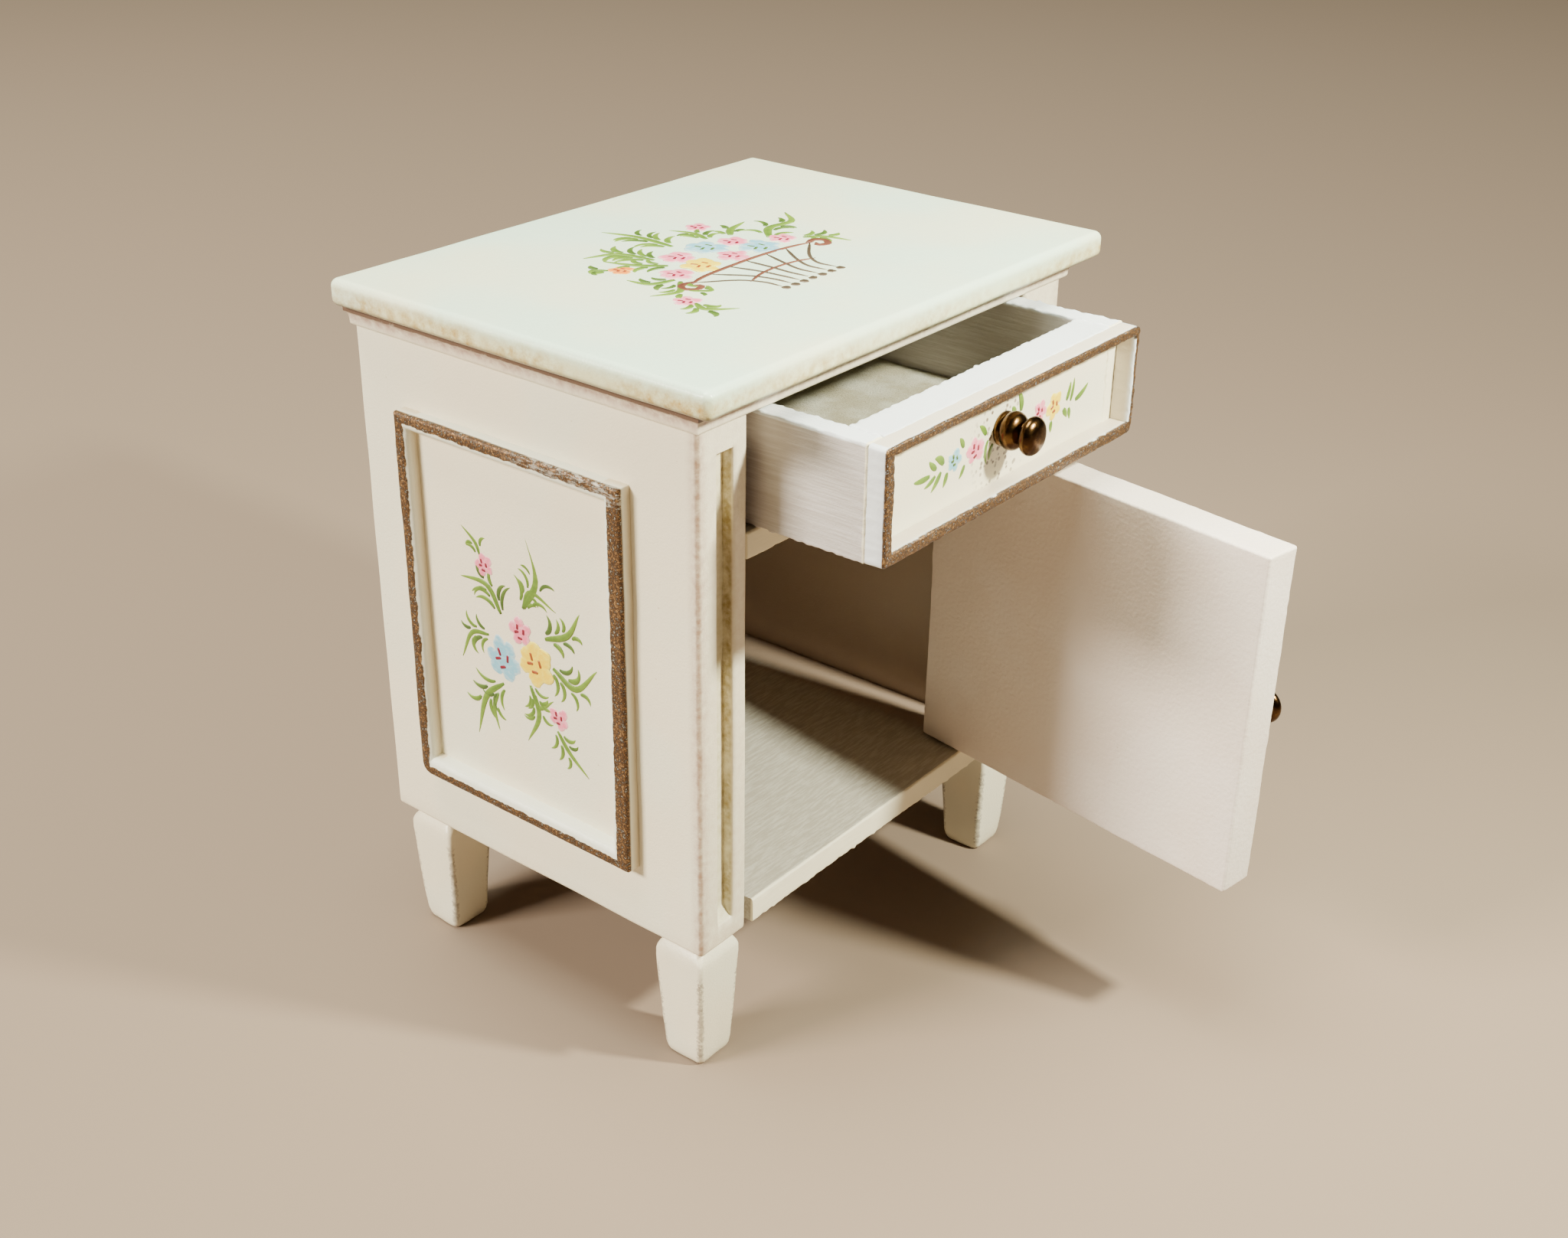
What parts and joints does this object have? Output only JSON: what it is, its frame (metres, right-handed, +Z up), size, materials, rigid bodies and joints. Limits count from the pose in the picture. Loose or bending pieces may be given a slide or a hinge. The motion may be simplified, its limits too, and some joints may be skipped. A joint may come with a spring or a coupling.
{
  "type": "dolls' house bedside cabinet",
  "caption": "Miniature painted bedside cabinet on square tapering feet, with a drawer above a side-hung cupboard door, both shown open, and moulding frames on its sides.",
  "frame": {"origin": "on the floor, under the centre of the whole object's box with the door open 81.1 degrees and the drawer 11.1 mm out", "axes": "+Z up, -Y to the cabinet's front, +X to the right-hand side of someone facing the front"},
  "size_m": [0.0504, 0.0644, 0.06],
  "materials": {
    "cream_paint": "wood under satin cream paint, rubbed with brown wax along its edges",
    "top_paint": "wood under satin ivory paint",
    "drawer_paint": "wood under thin white paint, its grain showing",
    "gilt_edged_paint": "painted wood strip with a bronze-gold line along its face",
    "antique_brass": "dark antique brass, polished",
    "pin_steel": "plain steel pin"
  },
  "bodies": {
    "cabinet": {"top_board": "top_paint", "cornice_front": "cream_paint", "cornice_left": "cream_paint", "cornice_right": "cream_paint", "top_rail": "cream_paint", "left_side": "cream_paint", "right_side": "cream_paint", "back_panel": "cream_paint", "bottom_board": "cream_paint", "drawer_divider": "cream_paint", "foot_front_left": "cream_paint", "foot_front_right": "cream_paint", "foot_back_left": "cream_paint", "foot_back_right": "cream_paint", "left_moulding_top": "gilt_edged_paint", "left_moulding_bottom": "gilt_edged_paint", "left_moulding_front": "gilt_edged_paint", "left_moulding_back": "gilt_edged_paint", "right_moulding_top": "gilt_edged_paint", "right_moulding_bottom": "gilt_edged_paint", "right_moulding_front": "gilt_edged_paint", "right_moulding_back": "gilt_edged_paint", "door_pin_lower": "pin_steel", "door_pin_upper": "pin_steel"},
    "drawer": {"drawer_front": "drawer_paint", "drawer_side_left": "drawer_paint", "drawer_side_right": "drawer_paint", "drawer_back": "drawer_paint", "drawer_bottom": "drawer_paint", "drawer_moulding_top": "gilt_edged_paint", "drawer_moulding_bottom": "gilt_edged_paint", "drawer_moulding_left": "gilt_edged_paint", "drawer_moulding_right": "gilt_edged_paint", "drawer_knob": "antique_brass"},
    "door": {"door_board": "drawer_paint", "door_moulding_top": "gilt_edged_paint", "door_moulding_bottom": "gilt_edged_paint", "door_moulding_hinge": "gilt_edged_paint", "door_moulding_free": "gilt_edged_paint", "door_knob": "antique_brass"}
  },
  "joints": [
    {"name": "drawer_slide", "type": "slide", "parent": "cabinet", "child": "drawer", "axis": [0, -1, 0], "range_m": [-0.0111, 0.014]},
    {"name": "door_hinge", "type": "hinge", "parent": "cabinet", "child": "door", "pos_m": [0.014, -0.0014, 0.0294], "axis": [0, 0, 1], "range_deg": [-81.1, 25]}
  ]
}
